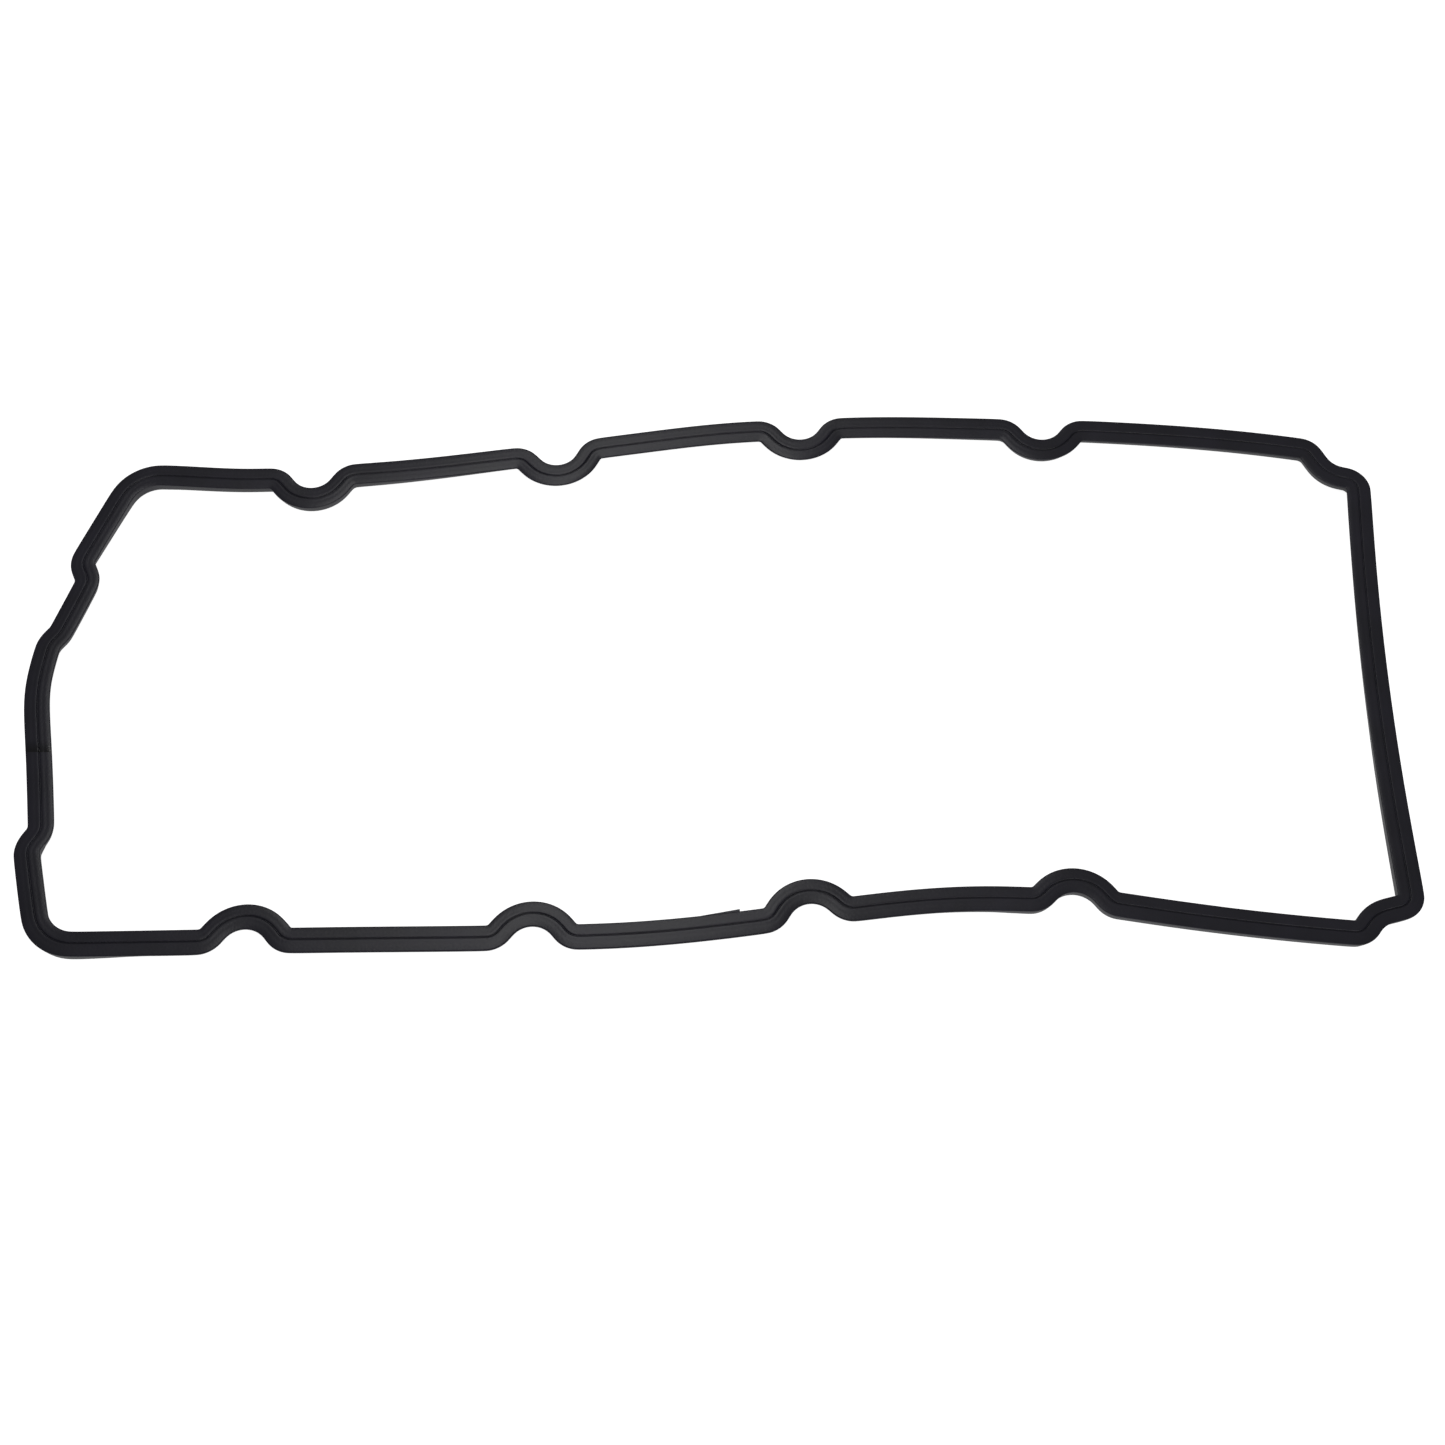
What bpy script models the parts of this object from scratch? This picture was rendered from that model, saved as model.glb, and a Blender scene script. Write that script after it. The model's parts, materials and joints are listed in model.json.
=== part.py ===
import math

import bpy
import bmesh
from mathutils import Vector

# All sizes are in metres. X runs along the length, Y across it, Z is up.

# Bolt scallops, four on each long side, evenly spaced on the far side
BOLT_PITCH = 0.0900
FIRST_BOLT_X = -0.1485
NEAR_CREEP = (-0.0054, -0.0013, -0.0001, -0.0022)
SCALLOP_RADIUS = 0.0128
SHOULDER_RADIUS = 0.0056

# How each side lies at its scallops, left to right: place across the loop,
# heading in degrees, how far outside the run the bolt's middle is, and how
# far the strand rolls inward, in degrees
FAR_LIE = (0.0798, 0.0900, 0.1005, 0.1004)
FAR_HEADING = (3.6, 8.2, 2.7, -1.4)
FAR_SETBACK = (0.0032, 0.0029, 0.0037, 0.0038)
FAR_ROLL = (1.3, 3.0, 3.0, 2.2)
NEAR_LIE = (-0.1003, -0.0990, -0.0911, -0.0867)
NEAR_HEADING = (1.2, 0.9, 8.1, -3.8)
NEAR_SETBACK = (0.0042, 0.0045, 0.0045, 0.0050)
NEAR_ROLL = (-0.9, -0.9, -0.9, 0.6)

# Right end: two notched corners joined by a bowed side
NEAR_END_PULL = (0.1724, -0.0942)
NEAR_NOTCH = ((0.2126, -0.0976), (0.2171, -0.0908), (0.2302, -0.0877))
RIGHT_PULL = (0.2277, -0.0052)
FAR_NOTCH = ((0.2366, 0.0786), (0.2251, 0.0801), (0.2197, 0.0918))
FAR_END_PULL = (0.1843, 0.0978)
NOTCH_RADIUS = 0.0124
NOTCH_CORNER_RADIUS = 0.0049
NEAR_NOTCH_ROLL = 0.4
FAR_NOTCH_ROLL = 1.7

# Left end: two wide corners, two jogs, a step and a bulge
FAR_LEFT = (-0.2140, 0.0806)
FAR_JOG = ((-0.2281, 0.0430), (-0.2244, 0.0357))
STEP = ((-0.2313, 0.0140), (-0.2346, 0.0104))
BULGE_PULL = (-0.2379, -0.0152)
WAIST_PULL = (-0.2344, -0.0117)
NEAR_JOG = ((-0.2261, -0.0614), (-0.2302, -0.0679))
NEAR_LEFT = (-0.2210, -0.1015)
LEFT_CORNER_RADIUS = 0.0137
JOG_RADIUS = 0.0066
STEP_RADIUS = 0.0088
LEFT_ROLL = 1.7
FAR_LEFT_ROLL = 0.9
NEAR_LEFT_ROLL = 0.9

# Section of the strand, as distances from its groove and drops from its top.
# The groove is a little nearer the inner edge than the outer one.
HEIGHT = 0.0052
INNER_HALF_WIDTH = 0.00415
OUTER_HALF_WIDTH = 0.0047
GROOVE_DEPTH = 0.0007
GROOVE_HALF_WIDTH = 0.00035
GROOVE_RIM_DROP = 0.00005
RIB_U = 0.0010
VALLEY_U = 0.0018
VALLEY_DROP = 0.00012
OUTER_RIB_U = 0.0027
OUTER_RIB_DROP = 0.00005
EDGE_INSET = 0.0001
EDGE_DROP = 0.0002
CHEEK_DROP = 0.0007
FOOT_HALF_WIDTH = 0.0036
FOOT_OFFSET = -0.0002
FOOT_BEVEL = 0.0004
FOOT_FOLLOW = 8.4

# Smoothness of bends and of the runs between them
STEP_ANGLE = math.radians(13.5)
RUN_STEPS = 5
MIN_STATION_GAP = 0.0003


def unit(v):
    return v / v.length


def left_of(v):
    return Vector((-v.y, v.x))


# A station is a point of the route, the direction of travel there and the
# strand's roll.
def arc(centre, radius, start, turn, roll):
    steps = max(2, math.ceil(abs(turn) / STEP_ANGLE))
    side = 1.0 if turn > 0.0 else -1.0
    stations = []
    for i in range(steps + 1):
        angle = start + turn * i / steps
        spoke = Vector((math.cos(angle), math.sin(angle)))
        stations.append((centre + spoke * radius, left_of(spoke) * side, roll))
    return stations


def bend(before, corner, after, radius, roll):
    back = unit(before - corner)
    ahead = unit(after - corner)
    half = back.angle(ahead) / 2.0
    centre = corner + unit(back + ahead) * (radius / math.sin(half))
    first = corner + back * (radius / math.tan(half)) - centre
    side = 1.0 if back.x * ahead.y - back.y * ahead.x < 0.0 else -1.0
    start = math.atan2(first.y, first.x)
    return arc(centre, radius, start, side * (math.pi - 2.0 * half), roll)


def scallop(foot, heading, setback, roll):
    reach = SCALLOP_RADIUS + SHOULDER_RADIUS
    rise = setback + SHOULDER_RADIUS
    half_span = math.sqrt(reach ** 2 - rise ** 2)
    lean = math.acos(rise / reach)
    quarter = math.pi / 2.0
    ahead = Vector((math.cos(heading), math.sin(heading)))
    inward = left_of(ahead)
    entry = foot - ahead * half_span + inward * SHOULDER_RADIUS
    leaving = foot + ahead * half_span + inward * SHOULDER_RADIUS
    bolt = foot - inward * setback
    stations = arc(entry, SHOULDER_RADIUS, heading - quarter, lean, roll)
    stations += arc(bolt, SCALLOP_RADIUS, heading + quarter + lean, -2.0 * lean, roll)[1:]
    stations += arc(leaving, SHOULDER_RADIUS, heading - quarter - lean, lean, roll)[1:]
    return stations


# Corner points with a radius become bends. One with no radius stays a pull
# point for the run that passes it.
def corners(before, marks, after):
    chain = [before] + [Vector(place) for place, _, _ in marks] + [after]
    groups = []
    for i, (_, radius, roll) in enumerate(marks):
        if radius is None:
            groups.append(chain[i + 1])
        else:
            groups.append(bend(chain[i], chain[i + 1], chain[i + 2], radius, roll))
    return groups


# A run between two bends is a cubic curve that leaves and arrives along their
# directions. One or two pull points, if given, are its handles.
def run(start, pulls, end):
    first, ahead, first_roll = start
    last, arriving, last_roll = end
    third = (last - first).length / 3.0
    if len(pulls) == 2:
        near, far = pulls
    elif len(pulls) == 1:
        near = first.lerp(pulls[0], 2.0 / 3.0)
        far = last.lerp(pulls[0], 2.0 / 3.0)
    else:
        near = first + ahead * third
        far = last - arriving * third
    stations = []
    for i in range(1, RUN_STEPS):
        t = i / RUN_STEPS
        s = 1.0 - t
        point = first * s ** 3 + near * 3 * s * s * t + far * 3 * s * t * t + last * t ** 3
        slope = (near - first) * s * s + (far - near) * 2 * s * t + (last - far) * t * t
        stations.append((point, unit(slope), first_roll * s + last_roll * t))
    return stations


def scallops():
    far_bolts = [FIRST_BOLT_X + BOLT_PITCH * i for i in range(len(FAR_LIE))]
    near_bolts = [x + creep for x, creep in zip(far_bolts, NEAR_CREEP)]
    near_lie = zip(near_bolts, NEAR_LIE, NEAR_HEADING, NEAR_SETBACK, NEAR_ROLL)
    far_lie = zip(far_bolts, FAR_LIE, FAR_HEADING, FAR_SETBACK, FAR_ROLL)
    near_side = []
    for x, y, heading, setback, roll in near_lie:
        near_side.append(scallop(Vector((x, y)), math.radians(heading), setback, roll))
    far_side = []
    for x, y, heading, setback, roll in far_lie:
        turned = math.pi + math.radians(heading)
        far_side.append(scallop(Vector((x, y)), turned, setback, roll))
    far_side.reverse()
    return near_side, far_side


def right_end(before, after):
    radii = (NOTCH_CORNER_RADIUS, NOTCH_RADIUS, NOTCH_CORNER_RADIUS)
    marks = [(NEAR_END_PULL, None, None)]
    marks += [(place, radius, NEAR_NOTCH_ROLL) for place, radius in zip(NEAR_NOTCH, radii)]
    marks.append((RIGHT_PULL, None, None))
    marks += [(place, radius, FAR_NOTCH_ROLL) for place, radius in zip(FAR_NOTCH, radii)]
    marks.append((FAR_END_PULL, None, None))
    return corners(before, marks, after)


def left_end(before, after):
    marks = [
        (FAR_LEFT, LEFT_CORNER_RADIUS, FAR_LEFT_ROLL),
        (FAR_JOG[0], JOG_RADIUS, LEFT_ROLL),
        (FAR_JOG[1], JOG_RADIUS, LEFT_ROLL),
        (STEP[0], STEP_RADIUS, LEFT_ROLL),
        (STEP[1], STEP_RADIUS, LEFT_ROLL),
        (BULGE_PULL, None, None),
        (WAIST_PULL, None, None),
        (NEAR_JOG[0], JOG_RADIUS, LEFT_ROLL),
        (NEAR_JOG[1], JOG_RADIUS, NEAR_LEFT_ROLL),
        (NEAR_LEFT, LEFT_CORNER_RADIUS, NEAR_LEFT_ROLL),
    ]
    return corners(before, marks, after)


# The whole route, anticlockwise from above
def centre_line():
    near_side, far_side = scallops()
    right = right_end(near_side[-1][-1][0], far_side[0][0][0])
    left = left_end(far_side[-1][-1][0], near_side[0][0][0])
    groups = near_side + right + far_side + left
    stations = []
    pulls = []
    for group in groups + [groups[0]]:
        if isinstance(group, Vector):
            pulls.append(group)
            continue
        if stations:
            stations += run(stations[-1], pulls, group[0])
        stations += group
        pulls = []
    return spaced(stations[:len(stations) - len(groups[0])])


def spaced(stations):
    kept = []
    for station in stations:
        if not kept or (station[0] - kept[-1][0]).length > MIN_STATION_GAP:
            kept.append(station)
    if (kept[0][0] - kept[-1][0]).length < MIN_STATION_GAP:
        kept.pop()
    return kept


# One side of the head, from the groove over two ribs and down to the cheek
def head_side(half_width):
    return [
        (GROOVE_HALF_WIDTH, GROOVE_RIM_DROP),
        (RIB_U, 0.0),
        (VALLEY_U, VALLEY_DROP),
        (OUTER_RIB_U, OUTER_RIB_DROP),
        (half_width - EDGE_INSET, EDGE_DROP),
        (half_width, CHEEK_DROP),
    ]


# The head turns by the roll about the top of its groove. The foot stays flat
# on the ground and is pushed sideways the other way.
def section(roll):
    angle = math.radians(roll)
    cosine = math.cos(angle)
    sine = math.sin(angle)
    inner = [(-u, drop) for u, drop in reversed(head_side(INNER_HALF_WIDTH))]
    head = inner + [(0.0, GROOVE_DEPTH)] + head_side(OUTER_HALF_WIDTH)
    ring = []
    for u, drop in head:
        ring.append((u * cosine + drop * sine, HEIGHT + u * sine - drop * cosine))
    middle = FOOT_OFFSET + FOOT_FOLLOW * HEIGHT * sine
    flat = FOOT_HALF_WIDTH - FOOT_BEVEL
    ring.append((middle + FOOT_HALF_WIDTH, FOOT_BEVEL))
    ring.append((middle + flat, 0.0))
    ring.append((middle - flat, 0.0))
    ring.append((middle - FOOT_HALF_WIDTH, FOOT_BEVEL))
    return ring


def middle_of(values):
    return (min(values) + max(values)) / 2.0


def strand_mesh():
    rings = []
    for point, ahead, roll in centre_line():
        outward = -left_of(ahead)
        rings.append([(point + outward * u, z) for u, z in section(roll)])
    middle_x = middle_of([place.x for ring in rings for place, _ in ring])
    middle_y = middle_of([place.y for ring in rings for place, _ in ring])

    mesh = bmesh.new()
    loops = []
    for ring in rings:
        loops.append([mesh.verts.new((p.x - middle_x, p.y - middle_y, z)) for p, z in ring])
    for loop, after in zip(loops, loops[1:] + loops[:1]):
        for j in range(len(loop)):
            k = (j + 1) % len(loop)
            mesh.faces.new((loop[j], after[j], after[k], loop[k]))
    bmesh.ops.recalc_face_normals(mesh, faces=mesh.faces)
    return mesh


def rubber():
    material = bpy.data.materials.new("moulded_black_rubber")
    material.use_nodes = True
    shader = material.node_tree.nodes["Principled BSDF"]
    shader.inputs["Base Color"].default_value = (0.018, 0.017, 0.019, 1.0)
    shader.inputs["Roughness"].default_value = 0.62
    shader.inputs["Metallic"].default_value = 0.0
    return material


def build():
    for old in list(bpy.data.objects):
        bpy.data.objects.remove(old, do_unlink=True)
    mesh = strand_mesh()
    data = bpy.data.meshes.new("gasket")
    mesh.to_mesh(data)
    mesh.free()
    data.materials.append(rubber())
    gasket = bpy.data.objects.new("gasket", data)
    bpy.context.scene.collection.objects.link(gasket)
    gasket.select_set(True)
    bpy.context.view_layer.objects.active = gasket
    bpy.ops.object.shade_smooth()
    data.set_sharp_from_angle(angle=math.radians(38.0))


build()
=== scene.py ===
# %% [markdown]
# # Valve cover gasket
#
# A valve cover gasket is one closed loop of moulded rubber. It lies in the joint between a
# cylinder head and its cover and keeps the oil in. This lesson takes the solid loop from the
# CAD model, gives it the finish of real moulded rubber, and sets it on a pale floor under
# soft light. All sizes are in metres, X runs along the loop, Y across it, and Z is up.

# %% Load the part
import json
import math

import bpy
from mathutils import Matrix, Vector

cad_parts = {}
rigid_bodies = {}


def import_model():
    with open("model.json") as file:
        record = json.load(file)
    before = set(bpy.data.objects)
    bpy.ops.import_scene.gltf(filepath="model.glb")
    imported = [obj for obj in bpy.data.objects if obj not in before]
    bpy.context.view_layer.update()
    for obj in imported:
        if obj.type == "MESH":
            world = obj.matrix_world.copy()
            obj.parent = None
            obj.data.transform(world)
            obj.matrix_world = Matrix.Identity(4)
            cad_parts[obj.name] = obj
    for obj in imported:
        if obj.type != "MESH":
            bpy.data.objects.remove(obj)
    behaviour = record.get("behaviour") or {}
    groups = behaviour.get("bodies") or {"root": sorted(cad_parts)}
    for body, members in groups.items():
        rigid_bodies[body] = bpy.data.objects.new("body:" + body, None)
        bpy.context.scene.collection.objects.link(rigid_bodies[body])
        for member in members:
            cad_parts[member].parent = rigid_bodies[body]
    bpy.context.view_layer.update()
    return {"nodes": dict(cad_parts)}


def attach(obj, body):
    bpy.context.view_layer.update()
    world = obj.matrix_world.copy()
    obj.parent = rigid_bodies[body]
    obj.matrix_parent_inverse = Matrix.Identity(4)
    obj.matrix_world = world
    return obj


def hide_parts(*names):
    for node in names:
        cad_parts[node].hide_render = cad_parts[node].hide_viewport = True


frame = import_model()

# %% [markdown]
# ## Colours and nodes
#
# Colours are easiest to pick as the sRGB hex values that a paint program shows, but a shader
# works on linear light, so one function turns one into the other. A second small function
# adds a node and links its inputs, which keeps each material readable from top to bottom.


# %% Colour and node helpers
def linear(hex_colour):
    channels = [int(hex_colour[i:i + 2], 16) / 255 for i in (1, 3, 5)]
    lit = [c / 12.92 if c <= 0.04045 else ((c + 0.055) / 1.055) ** 2.4 for c in channels]
    return (*lit, 1.0)


def node(tree, kind, links=(), **settings):
    made = tree.nodes.new(kind)
    for name, value in settings.items():
        setattr(made, name, value)
    for socket, source in dict(links).items():
        if isinstance(source, bpy.types.NodeSocket):
            tree.links.new(source, made.inputs[socket])
        else:
            made.inputs[socket].default_value = source
    return made


def new_material(name):
    material = bpy.data.materials.new(name)
    material.use_nodes = True
    return material, material.node_tree, material.node_tree.nodes["Principled BSDF"]


# %% [markdown]
# ## The strand
#
# The CAD solid already has the true section and route, in flat facets. Rubber comes out of
# its mould with smooth bends, so a copy of the solid is cleaned up and subdivided. The CAD
# mesh is loose triangles, so their points are merged and pairs of them become four-sided
# faces again, because subdivision rounds a grid of four-sided faces evenly.


# %% Helpers for working in edit mode
def only(piece):
    bpy.ops.object.select_all(action="DESELECT")
    piece.select_set(True)
    bpy.context.view_layer.objects.active = piece


def pick(piece, test):
    bpy.ops.object.mode_set(mode="OBJECT")
    for vertex in piece.data.vertices:
        vertex.select = test(vertex)
    for part in (*piece.data.edges, *piece.data.polygons):
        part.select = all(piece.data.vertices[i].select for i in part.vertices)
    bpy.ops.object.mode_set(mode="EDIT")


def chosen(piece):
    bpy.ops.object.mode_set(mode="OBJECT")
    found = {vertex.index for vertex in piece.data.vertices if vertex.select}
    bpy.ops.object.mode_set(mode="EDIT")
    return found


def apply_modifier(piece, kind, **settings):
    only(piece)
    modifier = piece.modifiers.new(kind.title(), kind)
    for name, value in settings.items():
        setattr(modifier, name, value)
    bpy.ops.object.modifier_apply(modifier=modifier.name)


# %% Copy and clean the strand
MERGE_DISTANCE = 0.00002
QUAD_ANGLE = math.radians(40.0)

strand = frame["nodes"]["gasket"].copy()
strand.data = strand.data.copy()
strand.name = "gasket_strand"
strand.parent = None
for key in list(strand.keys()):
    del strand[key]
bpy.context.scene.collection.objects.link(strand)
only(strand)
bpy.ops.object.mode_set(mode="EDIT")
bpy.ops.mesh.select_all(action="SELECT")
bpy.ops.mesh.remove_doubles(threshold=MERGE_DISTANCE)
bpy.ops.mesh.tris_convert_to_quads(face_threshold=QUAD_ANGLE, shape_threshold=math.pi)
bpy.ops.object.mode_set(mode="OBJECT")
quads = sum(1 for face in strand.data.polygons if len(face.vertices) == 4)
print("strand:", len(strand.data.polygons), "faces,", quads, "of them four-sided")

# %% [markdown]
# ## Crease, crown and subdivide
#
# Creased edges survive subdivision, so the lines where the section turns sharply are creased
# first. The bottom of the groove is the sharpest of all. Its crease comes off again and it is
# raised a little, because the ridge in the mould that forms it is rounded. Then the selection
# grows outward from the groove, one row of points at a time. Each new row moves up or down by
# its own amount, which gives the top the slight crown of rubber that has shrunk as it cooled.
# The last row is the shoulder, and its crease is eased so that it catches a softer light.
# Working row by row needs no list of points, and still fits if the route changes.

# %% Crease, crown and subdivide
CREASE_ANGLE = math.radians(30.0)
CREASE = 1.0
GROOVE_ANGLE = math.radians(100.0)
GROOVE_FILL = 0.0001
SHOULDER_SOFTNESS = 0.3
ROW_LIFTS = (0.0, 0.0, 0.00002, -0.00002, -0.00010)
SUBDIVISIONS = 2

only(strand)
bpy.ops.object.mode_set(mode="EDIT")
bpy.ops.mesh.select_all(action="DESELECT")
bpy.ops.mesh.select_mode(type="EDGE")
bpy.ops.mesh.edges_select_sharp(sharpness=CREASE_ANGLE)
bpy.ops.transform.edge_crease(value=CREASE)
bpy.ops.mesh.select_all(action="DESELECT")
bpy.ops.mesh.edges_select_sharp(sharpness=GROOVE_ANGLE)
bpy.ops.transform.edge_crease(value=-CREASE)
bpy.ops.transform.translate(value=(0.0, 0.0, GROOVE_FILL))
bpy.ops.mesh.select_mode(type="VERT")
inside = set()
for lift in ROW_LIFTS:
    inside |= chosen(strand)
    bpy.ops.mesh.select_more()
    wider = chosen(strand)
    pick(strand, lambda vertex: vertex.index in wider - inside)
    bpy.ops.transform.translate(value=(0.0, 0.0, lift))
    pick(strand, lambda vertex: vertex.index in wider)
pick(strand, lambda vertex: vertex.index in wider - inside)
bpy.ops.transform.edge_crease(value=-SHOULDER_SOFTNESS)
bpy.ops.object.mode_set(mode="OBJECT")
apply_modifier(strand, "SUBSURF", levels=SUBDIVISIONS, render_levels=SUBDIVISIONS)
print("strand after subdivision:", len(strand.data.polygons), "faces")

# %% [markdown]
# ## The flash lip
#
# A little rubber squeezes out between the two halves of the mould and is trimmed off by hand.
# One sliver is left on the inner edge of the near side. It grows from nothing to almost a
# millimetre and then ends where the knife came out. It starts as a cube, stretched to size,
# with the outer corners of one end pushed back into the strand, and is then joined to it.

# %% Flash lip
LIP_LENGTH = 0.0133
LIP_REACH = 0.0008
LIP_ROOT = 0.0012
LIP_THICKNESS = 0.0004
LIP_START = Vector((-0.0049, -0.0924, 0.0047))
LIP_TURN = math.radians(7.1)
LIP_BEVEL = 0.00004
SMOOTH_ANGLE = math.radians(35.0)

bpy.ops.mesh.primitive_cube_add(size=1.0)
lip = bpy.context.active_object
lip.name = "flash_lip"
bpy.ops.object.mode_set(mode="EDIT")
bpy.ops.mesh.select_all(action="SELECT")
bpy.ops.transform.resize(value=(LIP_LENGTH, LIP_ROOT + LIP_REACH, LIP_THICKNESS))
bpy.ops.transform.translate(value=(LIP_LENGTH / 2, (LIP_REACH - LIP_ROOT) / 2, 0.0))
pick(lip, lambda vertex: vertex.co.x < LIP_LENGTH / 2 and vertex.co.y > 0.0)
bpy.ops.transform.translate(value=(0.0, -LIP_REACH, 0.0))
bpy.ops.mesh.select_all(action="SELECT")
bpy.ops.transform.rotate(value=-LIP_TURN, orient_axis="Z", center_override=(0.0, 0.0, 0.0))
bpy.ops.transform.translate(value=LIP_START)
bpy.ops.mesh.bevel(offset=LIP_BEVEL, segments=1)
bpy.ops.mesh.normals_make_consistent(inside=False)
bpy.ops.object.mode_set(mode="OBJECT")
print("flash lip reaches", [round(max(v.co[i] for v in lip.data.vertices), 4) for i in range(3)])
bpy.ops.object.select_all(action="DESELECT")
lip.select_set(True)
strand.select_set(True)
bpy.context.view_layer.objects.active = strand
bpy.ops.object.join()
bpy.ops.object.shade_smooth_by_angle(angle=SMOOTH_ANGLE)
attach(strand, "root")
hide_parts("gasket")

# %% [markdown]
# ## Moulded black rubber
#
# A cover gasket is nitrile or acrylic rubber, filled with carbon black and pressed in a
# polished steel mould. It is matt and almost black. The mould leaves a fine even grain, and
# handling leaves a faint bloom that is paler in some places than in others. The grain is
# about a fifth of a millimetre across in life, and is drawn three times as coarse so that it
# shows.
#
# The loop is closed at a splice across the left strand. It shows as a smooth dark band, sharp
# on one side and fading on the other. A mask that is 1 at the splice and 0 elsewhere darkens
# the colour and takes off some roughness there.

# %% Rubber material
RUBBER_COLOUR = "#13121e"
BLOOM_COLOUR = "#1c1a28"
GRAIN_SIZE = 0.0006
GRAIN_DETAIL = 3.0
GRAIN_DEPTH = 0.00005
GRAIN_STRENGTH = 0.9
BLOOM_SIZE = 0.012
BLOOM_DETAIL = 5.0
BLOOM_RANGE = (0.35, 0.7)
ROUGHNESS_RANGE = (0.34, 0.39)
SPLICE_DARKENING = 0.9
SPLICE_POLISH = 0.17
SPLICE_Y = -0.0330
SPLICE_FADE = 0.0050
LEFT_STRAND_X = -0.2

rubber, tree, shader = new_material("moulded_nitrile_rubber")
place = node(tree, "ShaderNodeTexCoord").outputs["Object"]
grain = node(tree, "ShaderNodeTexNoise", {
    "Vector": place, "Scale": 1 / GRAIN_SIZE, "Detail": GRAIN_DETAIL})
bloom = node(tree, "ShaderNodeTexNoise", {
    "Vector": place, "Scale": 1 / BLOOM_SIZE, "Detail": BLOOM_DETAIL})
tint = node(tree, "ShaderNodeValToRGB", {"Fac": bloom.outputs["Fac"]})
tints = (RUBBER_COLOUR, BLOOM_COLOUR)
for stop, position, hex_colour in zip(tint.color_ramp.elements, BLOOM_RANGE, tints):
    stop.position = position
    stop.color = linear(hex_colour)
rough = node(tree, "ShaderNodeMapRange", {
    "Value": bloom.outputs["Fac"], "To Min": ROUGHNESS_RANGE[0], "To Max": ROUGHNESS_RANGE[1]})
spot = node(tree, "ShaderNodeSeparateXYZ", {"Vector": place})
fade = node(tree, "ShaderNodeMapRange", {
    "Value": spot.outputs["Y"], "From Min": SPLICE_Y, "From Max": SPLICE_Y + SPLICE_FADE,
    "To Min": 1.0, "To Max": 0.0})
ahead = node(tree, "ShaderNodeMath", {0: spot.outputs["Y"], 1: SPLICE_Y}, operation="GREATER_THAN")
left = node(tree, "ShaderNodeMath", {0: spot.outputs["X"], 1: LEFT_STRAND_X}, operation="LESS_THAN")
side = node(tree, "ShaderNodeMath", {
    0: ahead.outputs["Value"], 1: left.outputs["Value"]}, operation="MULTIPLY")
splice = node(tree, "ShaderNodeMath", {
    0: side.outputs["Value"], 1: fade.outputs["Result"]}, operation="MULTIPLY")
paleness = node(tree, "ShaderNodeMath", {
    0: splice.outputs["Value"], 1: -SPLICE_DARKENING, 2: 1.0}, operation="MULTIPLY_ADD")
roughness = node(tree, "ShaderNodeMath", {
    0: splice.outputs["Value"], 1: -SPLICE_POLISH, 2: rough.outputs["Result"]}, operation="MULTIPLY_ADD")
colour = node(tree, "ShaderNodeVectorMath", {
    0: tint.outputs["Color"], "Scale": paleness.outputs["Value"]}, operation="SCALE")
tree.links.new(colour.outputs["Vector"], shader.inputs["Base Color"])
tree.links.new(roughness.outputs["Value"], shader.inputs["Roughness"])
bump = node(tree, "ShaderNodeBump", {
    "Height": grain.outputs["Fac"], "Distance": GRAIN_DEPTH, "Strength": GRAIN_STRENGTH})
tree.links.new(bump.outputs["Normal"], shader.inputs["Normal"])
strand.data.materials.clear()
strand.data.materials.append(rubber)
print("rubber:", len(tree.nodes), "nodes on", strand.name)

# %% [markdown]
# ## The floor
#
# The floor is white paper that also glows, but only to the camera and, a quarter as strong, to
# glossy rays. So the ground is a clean white in the picture, while the strand's cheeks, which
# mirror the ground beside them, stay dark. The glow lights nothing else, so the lamps still
# leave a soft shadow on the paper.

# %% Floor
FLOOR_SIZE = 6.0
FLOOR_COLOUR = "#f2f2f2"
FLOOR_ROUGHNESS = 0.9
FLOOR_GLOW = 0.9
REFLECTED_SHARE = 0.25

bpy.ops.mesh.primitive_plane_add(size=FLOOR_SIZE, location=(0.0, 0.0, 0.0))
floor = bpy.context.active_object
floor.name = "floor"
floor_paint, tree, shader = new_material("white_paper_floor")
shader.inputs["Base Color"].default_value = linear(FLOOR_COLOUR)
shader.inputs["Roughness"].default_value = FLOOR_ROUGHNESS
rays = node(tree, "ShaderNodeLightPath").outputs
seen = node(tree, "ShaderNodeMath", {
    0: rays["Is Glossy Ray"], 1: REFLECTED_SHARE, 2: rays["Is Camera Ray"]}, operation="MULTIPLY_ADD")
glow = node(tree, "ShaderNodeMath", {0: seen.outputs["Value"], 1: FLOOR_GLOW}, operation="MULTIPLY")
tree.links.new(glow.outputs["Value"], shader.inputs["Emission Strength"])
shader.inputs["Emission Color"].default_value = (1.0, 1.0, 1.0, 1.0)
floor.data.materials.append(floor_paint)
print("floor:", FLOOR_SIZE, "m square")

# %% [markdown]
# ## World and lamps
#
# Black rubber shows little colour of its own. What the eye reads is what its top mirrors. A
# long narrow lamp overhead gives the near and far strands the paler stretch in their middle,
# a broad lamp low in front lights the edges that face the camera, and a weak one lifts the
# right end. The world is white to the camera and a dim, even grey to everything else.

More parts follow.
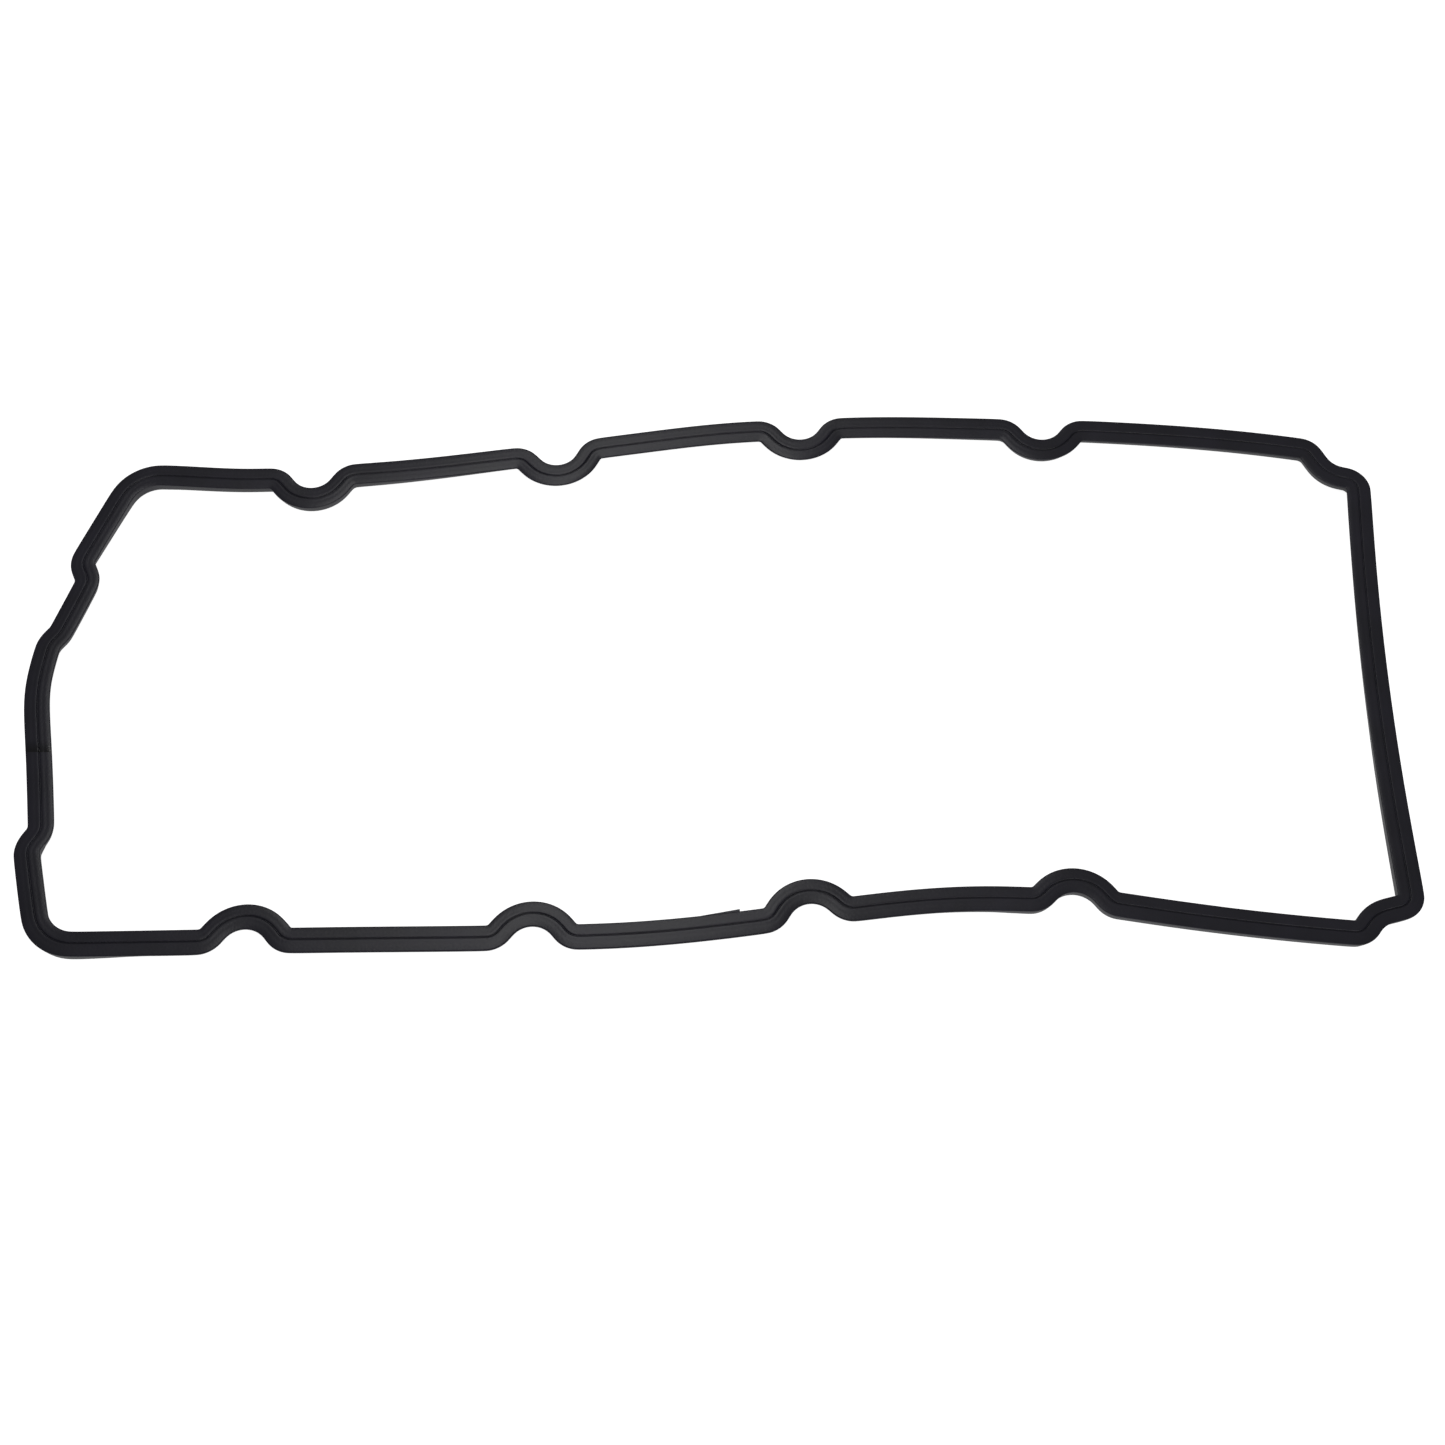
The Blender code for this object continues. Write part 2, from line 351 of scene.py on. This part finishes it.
# %% World and lamps
WORLD_STRENGTH = 0.19
TOP_LAMP_POWER = 2.45
TOP_LAMP_SIZE = (0.08, 1.15)
TOP_LAMP_PLACE = (-0.105, 0.38, 1.0)
TOP_LAMP_TURN = math.radians(-1.0)
RIGHT_FILL_POWER = 0.20
RIGHT_FILL_SIZE = (0.5, 1.0)
RIGHT_FILL_PLACE = (0.65, 0.4, 1.0)
FRONT_LAMP_POWER = 6.0
FRONT_LAMP_SIZE = (2.0, 0.5)
FRONT_LAMP_PLACE = (0.4, -1.2, 0.4)

world = bpy.data.worlds.new("studio")
bpy.context.scene.world = world
world.use_nodes = True
tree = world.node_tree
tree.nodes["Background"].inputs["Color"].default_value = (1.0, 1.0, 1.0, 1.0)
seen = node(tree, "ShaderNodeLightPath").outputs["Is Camera Ray"]
white = node(tree, "ShaderNodeMath", {0: seen, 1: WORLD_STRENGTH}, operation="MAXIMUM")
tree.links.new(white.outputs["Value"], tree.nodes["Background"].inputs["Strength"])


def soft_lamp(name, size, power, place, turn):
    bpy.ops.object.light_add(type="AREA", location=place, rotation=turn)
    lamp = bpy.context.active_object
    lamp.name = name
    lamp.data.shape = "RECTANGLE"
    lamp.data.size, lamp.data.size_y = size
    lamp.data.energy = power


facing = Vector(FRONT_LAMP_PLACE).to_track_quat("Z", "Y").to_euler()
soft_lamp("top_lamp", TOP_LAMP_SIZE, TOP_LAMP_POWER, TOP_LAMP_PLACE, (0.0, 0.0, TOP_LAMP_TURN))
soft_lamp("front_lamp", FRONT_LAMP_SIZE, FRONT_LAMP_POWER, FRONT_LAMP_PLACE, facing)
soft_lamp("right_fill", RIGHT_FILL_SIZE, RIGHT_FILL_POWER, RIGHT_FILL_PLACE, (0.0, 0.0, 0.0))

# %% [markdown]
# ## Camera
#
# The camera stands 64 degrees above the floor. That is the angle at which all eight scallops
# of the loop come out as circles of one size. It looks along Y, so it only has to tip down.

# %% Camera
VIEW_ELEVATION = math.radians(64.0)
VIEW_DISTANCE = 0.65169
VIEW_TARGET = Vector((0.00253, -0.02179, 0.0052))
FOCAL_LENGTH = 47.05
SENSOR = 36.0
CLIP_START = 0.01

bpy.ops.object.camera_add()
camera = bpy.context.active_object
away = Vector((0.0, -math.cos(VIEW_ELEVATION), math.sin(VIEW_ELEVATION)))
camera.location = VIEW_TARGET + away * VIEW_DISTANCE
camera.rotation_euler = (math.pi / 2 - VIEW_ELEVATION, 0.0, 0.0)
camera.data.lens = FOCAL_LENGTH
camera.data.sensor_width = SENSOR
camera.data.clip_start = CLIP_START
bpy.context.scene.camera = camera
bpy.context.scene.view_settings.view_transform = "Standard"
print("camera at", [round(x, 3) for x in camera.location])
